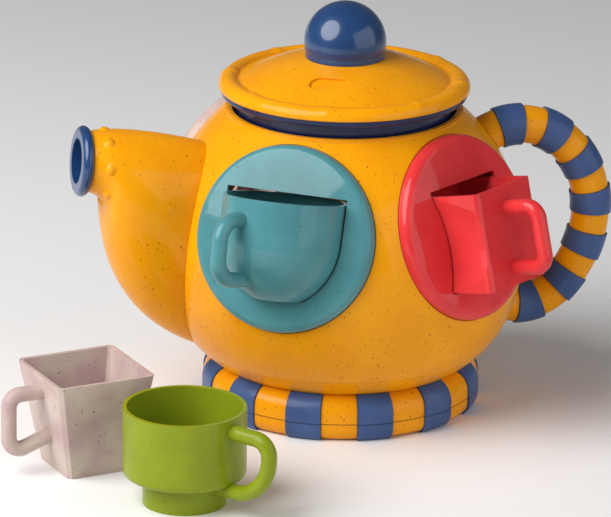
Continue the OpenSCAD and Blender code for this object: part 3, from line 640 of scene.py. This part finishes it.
@dataclass
class Ball:
    """Outside of the pot's body: a ball with a tighter round below its widest line."""

    radius: float = 83.3 * MM
    height: float = 75 * MM
    keel_radius: float = 50 * MM
    keel_angle: float = math.radians(20)

    def depth(self, point: Vector) -> float:
        """How far a point lies outside the body.

        Args:
            point: Point in the frame.

        Returns:
            The distance, which is negative inside.
        """
        out = math.hypot(point.x, point.y)
        up = point.z - self.height
        if math.atan2(up, out) > -self.keel_angle:
            return math.hypot(out, up) - self.radius
        shift = self.radius - self.keel_radius
        keel = (shift * math.cos(self.keel_angle), -shift * math.sin(self.keel_angle))
        return math.hypot(out - keel[0], up - keel[1]) - self.keel_radius


def bezier(points: list[Vector], share: float) -> Vector:
    """Point on a Bezier curve.

    Args:
        points: Its control points.
        share: How far along, from 0 to 1.

    Returns:
        The point.
    """
    while len(points) > 1:
        points = [a.lerp(b, share) for a, b in zip(points, points[1:])]
    return points[0]


@dataclass
class Spout:
    """Beak shaped spout of two moulded halves, with a ring of nubs behind its mouth."""

    reach: float = 121.7 * MM
    mouth_height: float = 121.3 * MM
    lean: float = math.radians(5.8)
    ring_thickness: float = 5 * MM
    neck_radius: float = 13.9 * MM
    half_width: float = 25.5 * MM
    wall: float = 2.2 * MM
    flare_share: float = 0.8
    chin_share: float = 0.25
    top_shares: tuple[tuple[float, float], ...] = ((0.846, 1.121), (0.698, 1.092), (0.51, 1.039))
    chin_shares: tuple[tuple[float, float], ...] = ((0.924, 0.874), (0.926, 0.787))
    belly_shares: tuple[tuple[float, float], ...] = ((0.93, 0.577), (0.813, 0.338),
                                                     (0.526, 0.243))
    steps: int = 72
    inner_step: int = 6
    sides: int = 44
    fine_turns: tuple[float, ...] = (0.0, 0.5, 1.0, 1.6, 2.4, 3.6)
    end_from: float = 0.4
    end_rounds: int = 30
    nudge: float = 0.01
    seam_width: float = 0.45 * MM
    seam_depth: float = 0.22 * MM
    sunk: float = 0.4 * MM
    nub_count: int = 8
    nub_phase: float = math.radians(-10)
    nub_radius: float = 2.3 * MM
    nub_skirt: float = 4.2 * MM
    nub_rise: float = 1.25 * MM
    nub_drop: float = 0.55 * MM
    nub_fall: float = 3.0
    nub_rings: int = 12
    nub_sides: int = 28
    nub_sink: float = 0.1 * MM
    nub_share: float = 0.15
    ball: Ball = field(default_factory=Ball)

    def _placed(self, shares: tuple[tuple[float, float], ...]) -> list[Vector]:
        """Control points from shares of the reach and of the mouth's height."""
        return [Vector((-a * self.reach, 0, b * self.mouth_height)) for a, b in shares]

    def _lips(self) -> tuple[Vector, Vector]:
        """Top and bottom of the spout's end behind the mouth ring."""
        out = Vector((-math.cos(self.lean), 0, math.sin(self.lean)))
        up = Vector((math.sin(self.lean), 0, math.cos(self.lean)))
        middle = Vector((-self.reach, 0, self.mouth_height)) - out * self.ring_thickness / 2
        return middle + up * self.neck_radius, middle - up * self.neck_radius

    def top(self, along: float) -> Vector:
        """Point of the upper line of the side view."""
        return bezier([self._lips()[0], *self._placed(self.top_shares)], along)

    def low(self, along: float) -> Vector:
        """Point of the lower line of the side view: a chin curve, then the belly."""
        chin = [self._lips()[1], *self._placed(self.chin_shares)]
        if along < self.chin_share:
            return bezier(chin, along / self.chin_share)
        rest = (along - self.chin_share) / (1 - self.chin_share)
        return bezier([chin[-1], *self._placed(self.belly_shares)], rest)

    def point(self, along: float, turn: float, inset: float, side: Side) -> Vector:
        """Point of the spout's wall.

        Args:
            along: How far from the mouth towards the ball, from 0 to 1.
            turn: Angle from the top of the section, from 0 to pi.
            inset: How far the point is drawn in.
            side: Half of the spout.

        Returns:
            The point in the frame.
        """
        top, low = self.top(along), self.low(along)
        half = self.neck_radius + (self.half_width - self.neck_radius) * math.sin(
            math.pi / 2 * min(1.0, along / self.flare_share))
        upright = (top - low).normalized() * ((top - low).length / 2 - inset)
        place = (top + low) / 2 + upright * math.cos(turn)
        place.y = side.value * (half - inset) * math.sin(turn)
        return place

    def _end(self, turn: float, inset: float, side: Side) -> float:
        """How far along a line of the wall runs before it is sunk in the ball's wall."""
        low, high = self.end_from, 1.0
        for _ in range(self.end_rounds):
            middle = (low + high) / 2
            outside = self.ball.depth(self.point(middle, turn, inset, side)) > -self.sunk
            low, high = (middle, high) if outside else (low, middle)
        return low

    def _turns(self) -> list[float]:
        """Angles of the section's points, close together at the seam."""
        fine, first = self.fine_turns, self.fine_turns[-1]
        middle = HALF_TURN_DEGREES - 2 * first
        even = [first + middle * i / self.sides for i in range(1, self.sides)]
        mirrored = [HALF_TURN_DEGREES - a for a in reversed(fine)]
        return [math.radians(a) for a in [*fine, *even, *mirrored]]

    def build(self, side: Side) -> bpy.types.Object:
        """Make one half of the spout with its parting groove.

        Args:
            side: Half of the spout.

        Returns:
            The piece.
        """
        turns = self._turns()
        grid: list[list[Vector]] = []
        for turn in turns:
            end = self._end(turn, 0, side)
            line = []
            for i in range(self.steps + 1):
                place = self.point(end * i / self.steps, turn, 0, side)
                gap = abs(place.y) / self.seam_width
                groove = self.seam_depth * math.exp(-gap * gap)
                line.append(self.point(end * i / self.steps, turn, groove, side))
            for i in range(self.steps, -1, -self.inner_step):
                line.append(self.point(end * i / self.steps, turn, self.wall, side))
            grid.append(line)
        count = len(grid[0])
        points = [place for line in grid for place in line]
        faces = []
        for i in range(len(turns) - 1):
            for j in range(count):
                k = (j + 1) % count
                faces.append((i * count + j, (i + 1) * count + j, (i + 1) * count + k,
                              i * count + k))
        last = (len(turns) - 1) * count
        faces.append(tuple(range(count)))
        faces.append(tuple(last + j for j in reversed(range(count))))
        return mesh_piece(f"spout_{side.name.lower()}_skin", points, faces)

    def nub_profile(self) -> bpy.types.Object:
        """Make one nub at the origin, +Z out: a low dome with a hollow fillet at its foot.

        Returns:
            The nub, which isn't in the scene.
        """
        rings, around = self.nub_rings, self.nub_sides
        points, faces = [Vector((0, 0, self.nub_rise))], []
        for i in range(1, rings + 1):
            share = i / rings
            radius = self.nub_skirt * share
            dome = math.exp(-((radius / self.nub_radius) ** self.nub_fall))
            drop = self.nub_drop * share * share
            for j in range(around):
                angle = FULL_TURN * j / around
                points.append(Vector((radius * math.cos(angle), radius * math.sin(angle),
                                      self.nub_rise * dome - drop)))
        for j in range(around):
            k = (j + 1) % around
            faces.append((0, 1 + j, 1 + k))
            for i in range(rings - 1):
                a = 1 + i * around
                faces.append((a + j, a + around + j, a + around + k, a + k))
        return mesh_piece("nub_pattern", points, faces)

    def nubs(self, material: bpy.types.Material) -> bpy.types.Object:
        """Set the nubs round the mouth with Geometry Nodes.

        Args:
            material: Plastic of the spout.

        Returns:
            All the nubs as one piece.
        """
        pattern = self.nub_profile()
        places, outward = [], []
        for i in range(self.nub_count):
            turn = (FULL_TURN * i / self.nub_count + self.nub_phase) % FULL_TURN
            side = Side.REAR if turn > math.pi else Side.FRONT
            turn = min(turn, FULL_TURN - turn)
            here = self.point(self.nub_share, turn, 0, side)
            ahead = self.point(self.nub_share + self.nudge, turn, 0, side) - here
            about = self.point(self.nub_share, turn + self.nudge, 0, side) - here
            normal = ahead.cross(about).normalized()
            middle = (self.top(self.nub_share) + self.low(self.nub_share)) / 2
            outward.append(normal if normal.dot(here - middle) > 0 else -normal)
            places.append(here)
        holder = mesh_piece("spout_nubs", places, [])
        fits = holder.data.attributes.new("outward", "FLOAT_VECTOR", "POINT")
        for i, normal in enumerate(outward):
            fits.data[i].vector = normal
        growth = Growth("nub_ring")
        growth.size("Nub size", 1.0)
        growth.size("Sink", self.nub_sink)
        growth.start()
        graph = growth.graph
        normal = graph.node("GeometryNodeInputNamedAttribute", {"Name": "outward"},
                            data_type="FLOAT_VECTOR")
        facing = graph.node("FunctionNodeAlignRotationToVector",
                            {"Vector": graph.out(normal)}, axis="Z")
        sink = graph.node("ShaderNodeVectorMath", {0: graph.out(normal),
                                                   "Scale": growth.given("Sink") * -1.0},
                          operation="SCALE")
        moved = graph.node("GeometryNodeSetPosition", {"Geometry": growth.given("Geometry"),
                                                       "Offset": graph.out(sink)})
        source = graph.node("GeometryNodeObjectInfo")
        source.inputs["Object"].default_value = pattern
        copies = graph.node("GeometryNodeInstanceOnPoints", {
            "Points": graph.out(moved), "Instance": graph.out(source, "Geometry"),
            "Rotation": graph.out(facing), "Scale": growth.given("Nub size")})
        growth.finish(graph.out(copies), material)
        growth.put_on(holder)
        made = settled(holder, material)
        bpy.data.objects.remove(pattern)
        return made


@dataclass
class LidRim:
    """Rolled rim of the lid, with low soft lumps along it."""

    radius: float = 52.4 * MM
    roll: float = 4.76 * MM
    height: float = 149.73 * MM
    lumps: int = 8
    first: float = math.radians(22.5)
    flange_drop: float = 0.62 * MM
    lump_rise: float = 0.4 * MM
    lump_width: float = 2.4 * MM
    upper_edge: float = 0.8
    path_steps: int = 480
    section_steps: int = 56
    dome_radius: float = 97.5 * MM
    dome_top: float = 165.13 * MM
    crease_radius: float = 1.5 * MM
    crease_steps: int = 12

    def build(self, material: bpy.types.Material) -> bpy.types.Object:
        """Sweep the roll round the lid and raise its lumps with Geometry Nodes.

        Args:
            material: Plastic of the lid.

        Returns:
            The rim.
        """
        holder = mesh_piece("lid_rim_roll", [Vector((0, 0, 0))], [])
        growth = Growth("rolled_rim")
        growth.size("Rim radius", self.radius)
        growth.size("Roll radius", self.roll)
        growth.size("Height", self.height)
        growth.size("Lumps", self.lumps)
        growth.size("First lump", self.first)
        growth.size("Flange drop", self.flange_drop)
        growth.size("Lump rise", self.lump_rise)
        growth.size("Lump width", self.lump_width)
        growth.start()
        graph = growth.graph
        path = graph.node("GeometryNodeCurvePrimitiveCircle", {
            "Resolution": self.path_steps, "Radius": growth.given("Rim radius")})
        section = graph.node("GeometryNodeCurvePrimitiveCircle", {
            "Resolution": self.section_steps, "Radius": growth.given("Roll radius")})
        swept = graph.node("GeometryNodeCurveToMesh", {
            "Curve": graph.out(path), "Profile Curve": graph.out(section)})
        place = graph.node("GeometryNodeInputPosition")
        parts = graph.node("ShaderNodeSeparateXYZ", {0: graph.out(place)})
        turn = graph.out(graph.node("ShaderNodeMath", {0: graph.out(parts, "Y"),
                                                       1: graph.out(parts, "X")},
                                    operation="ARCTAN2"))
        cycles = (turn - growth.given("First lump")) * growth.given("Lumps") / FULL_TURN
        near = graph.out(graph.node("ShaderNodeMath", {0: cycles + 0.5}, operation="FRACT")) - 0.5
        away = near * FULL_TURN / growth.given("Lumps") * growth.given("Rim radius")
        spread = away / growth.given("Lump width")
        along = graph.out(graph.node("ShaderNodeMath", {0: spread * spread * -1.0},
                                     operation="EXPONENT"))
        normal = graph.out(graph.node("GeometryNodeInputNormal"))
        facing_up = graph.node("ShaderNodeVectorMath", {0: normal, 1: UP},
                               operation="DOT_PRODUCT")
        upper = graph.ease(graph.out(facing_up, "Value"), 0.0, self.upper_edge)
        rise = along * upper * growth.given("Lump rise")
        push = graph.node("ShaderNodeVectorMath", {0: normal, "Scale": rise},
                          operation="SCALE")
        bumped = graph.node("GeometryNodeSetPosition", {"Geometry": graph.out(swept),
                                                        "Offset": graph.out(push)})
        depth = graph.out(parts, "Z") + growth.given("Flange drop")
        lift = graph.node("ShaderNodeMath", {0: depth * -1.0, 1: 0.0}, operation="MAXIMUM")
        flat = graph.node("ShaderNodeCombineXYZ", {"Z": graph.out(lift)})
        cut = graph.node("GeometryNodeSetPosition", {"Geometry": graph.out(bumped),
                                                     "Offset": graph.out(flat)})
        level = graph.node("ShaderNodeCombineXYZ", {"Z": growth.given("Height")})
        raised = graph.node("GeometryNodeTransform", {"Geometry": graph.out(cut),
                                                      "Translation": graph.out(level)})
        smooth = graph.node("GeometryNodeSetShadeSmooth", {"Geometry": graph.out(raised)})
        growth.finish(graph.out(smooth), material)
        growth.put_on(holder)
        return settled(holder, material)

    def crease(self) -> bpy.types.Object:
        """Round the crease between the roll and the dome with a hollow fillet.

        Returns:
            The fillet, all the way round the lid.
        """
        dome = Vector((0.0, self.dome_top - self.dome_radius))
        roll = Vector((self.radius, self.height))
        reach, short = self.dome_radius + self.crease_radius, self.roll + self.crease_radius
        gap = (roll - dome).length
        along = (gap * gap + reach * reach - short * short) / (2 * gap)
        ahead = (roll - dome).normalized()
        middle = dome + ahead * along + Vector((-ahead.y, ahead.x)) * math.sqrt(
            reach * reach - along * along)
        first, last = (dome - middle).normalized(), (roll - middle).normalized()
        section = [middle + first.slerp(last, i / self.crease_steps) * self.crease_radius
                   for i in range(self.crease_steps + 1)]
        points, faces = [], []
        for i in range(self.path_steps):
            angle = FULL_TURN * i / self.path_steps
            points += [Vector((p.x * math.cos(angle), p.x * math.sin(angle), p.y))
                       for p in section]
        count = len(section)
        for i in range(self.path_steps):
            k = (i + 1) % self.path_steps
            faces += [(i * count + j, k * count + j, k * count + j + 1, i * count + j + 1)
                      for j in range(count - 1)]
        return mesh_piece("lid_crease", points, faces)


class Teapot:
    """The whole dressed toy: CAD nodes in their plastics, and the pieces added to them."""

    def __init__(self, wardrobe: Wardrobe) -> None:
        """Hold the materials, the spout and the rim."""
        self.wardrobe = wardrobe
        self.spout = Spout()
        self.rim = LidRim()

    def settle(self, thing: bpy.types.Object, body: str, slot: Slot) -> None:
        """Dress a new piece, let it ride on its body and report it."""
        self.wardrobe.dress(thing, slot)
        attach(thing, body)
        log.info("piece %s on %s: %d faces", thing.name, body, len(thing.data.polygons))

    def build(self) -> None:
        """Make every piece."""
        self.wardrobe.dress_frame()
        for side in Side:
            half = self.spout.build(side)
            self.settle(half, "pot", Slot.ORANGE)
            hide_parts(f"spout_{side.name.lower()}")
        orange = self.wardrobe.materials[Slot.ORANGE]
        self.settle(self.spout.nubs(orange), "pot", Slot.ORANGE)
        self.settle(self.rim.build(orange), "lid", Slot.ORANGE)
        self.settle(self.rim.crease(), "lid", Slot.ORANGE)


@dataclass(frozen=True)
class Lamp:
    """One soft light: where it hangs, how large its face is and what it faces."""

    name: str
    place: Point
    size: tuple[float, float]
    power: float
    shape: str = "RECTANGLE"
    aim: Point = (0.0, 0.0, 0.08)

    def hang(self) -> None:
        """Put the light in the scene."""
        data = bpy.data.lights.new(self.name, "AREA")
        data.shape = self.shape
        data.size, data.size_y = self.size
        data.energy = self.power
        made = bpy.data.objects.new(self.name, data)
        made.location = self.place
        made.rotation_mode = "QUATERNION"
        made.rotation_quaternion = (Vector(self.aim) - Vector(self.place)).to_track_quat("-Z", "Y")
        bpy.context.scene.collection.objects.link(made)


LAMPS = (
    Lamp("key_softbox", (-0.93, -0.3, 0.92), (1.25, 1.25), 23.0, shape="DISK"),
    Lamp("right_panel", (1.25, -1.2, 0.65), (2.3, 1.5), 13.5),
    Lamp("backdrop_lamp", (0.0, 2.6, 1.6), (3.0, 1.0), 60.0, aim=(0.0, 4.2, 0.0)),
)


@dataclass
class Studio:
    """Pale floor, soft lights and the camera that stands where the photograph's stood."""

    azimuth: float = math.radians(-14.783)
    elevation: float = math.radians(17.711)
    distance: float = 2.501
    aim: Point = (0.0, 0.0, 0.09)
    focal_pixels: float = 5470.0
    image_width: float = 611.0
    image_height: float = 517.0
    principal: tuple[float, float] = (342.77, 210.19)
    roll: float = math.radians(0.836)
    sensor: float = 36.0
    sight: float = 50.0
    air: float = 0.13
    floor_half: float = 6.0
    floor_tone: Colour = (0.9, 0.9, 0.9)
    floor_roughness: float = 0.75
    floor_mirror: float = 0.2

    def camera(self) -> None:
        """Stand the camera at the photograph's angle and make it the scene's."""
        back = Vector((math.sin(self.azimuth) * math.cos(self.elevation),
                       -math.cos(self.azimuth) * math.cos(self.elevation),
                       math.sin(self.elevation)))
        data = bpy.data.cameras.new("camera")
        data.sensor_fit = "HORIZONTAL"
        data.sensor_width = self.sensor
        data.lens = self.focal_pixels * self.sensor / self.image_width
        data.shift_x = (self.image_width / 2 - self.principal[0]) / self.image_width
        data.shift_y = (self.principal[1] - self.image_height / 2) / self.image_width
        data.clip_end = self.sight
        made = bpy.data.objects.new("camera", data)
        made.location = Vector(self.aim) + back * self.distance
        level = (-back).to_track_quat("-Z", "Y")
        made.rotation_mode = "QUATERNION"
        made.rotation_quaternion = level @ Quaternion((0, 0, 1), self.roll)
        bpy.context.scene.collection.objects.link(made)
        bpy.context.scene.camera = made

    def floor(self) -> None:
        """Lay the pale floor."""
        corners = [Vector((x, y, 0)) * self.floor_half
                   for x, y in ((-1, -1), (1, -1), (1, 1), (-1, 1))]
        made = mesh_piece("floor", corners, [(0, 1, 2, 3)])
        material = bpy.data.materials.new("pale_floor")
        material.use_nodes = True
        graph = Graph(material.node_tree)
        shader = graph.node("ShaderNodeBsdfPrincipled", {
            "Base Color": self.floor_tone, "Roughness": self.floor_roughness,
            "Specular IOR Level": self.floor_mirror})
        graph.node("ShaderNodeOutputMaterial", {"Surface": graph.out(shader)})
        made.data.materials.append(material)

    def lights(self) -> None:
        """Hang the soft lights and fill the room with pale light."""
        for lamp in LAMPS:
            lamp.hang()
        world = bpy.data.worlds.new("studio_air")
        world.use_nodes = True
        graph = Graph(world.node_tree)
        air = graph.node("ShaderNodeBackground", {"Color": WHITE, "Strength": self.air})
        graph.node("ShaderNodeOutputWorld", {"Surface": graph.out(air)})
        bpy.context.scene.world = world

    def build(self) -> None:
        """Set the whole studio up."""
        self.camera()
        self.floor()
        self.lights()
        look = bpy.context.scene.view_settings
        look.view_transform = "Standard"
        look.look = "None"


def main() -> None:
    """Build the studio and the teapot."""
    logging.basicConfig(level=logging.INFO, format="%(name)s: %(message)s")
    Studio().build()
    Teapot(Wardrobe()).build()


if __name__ == "__main__":
    main()
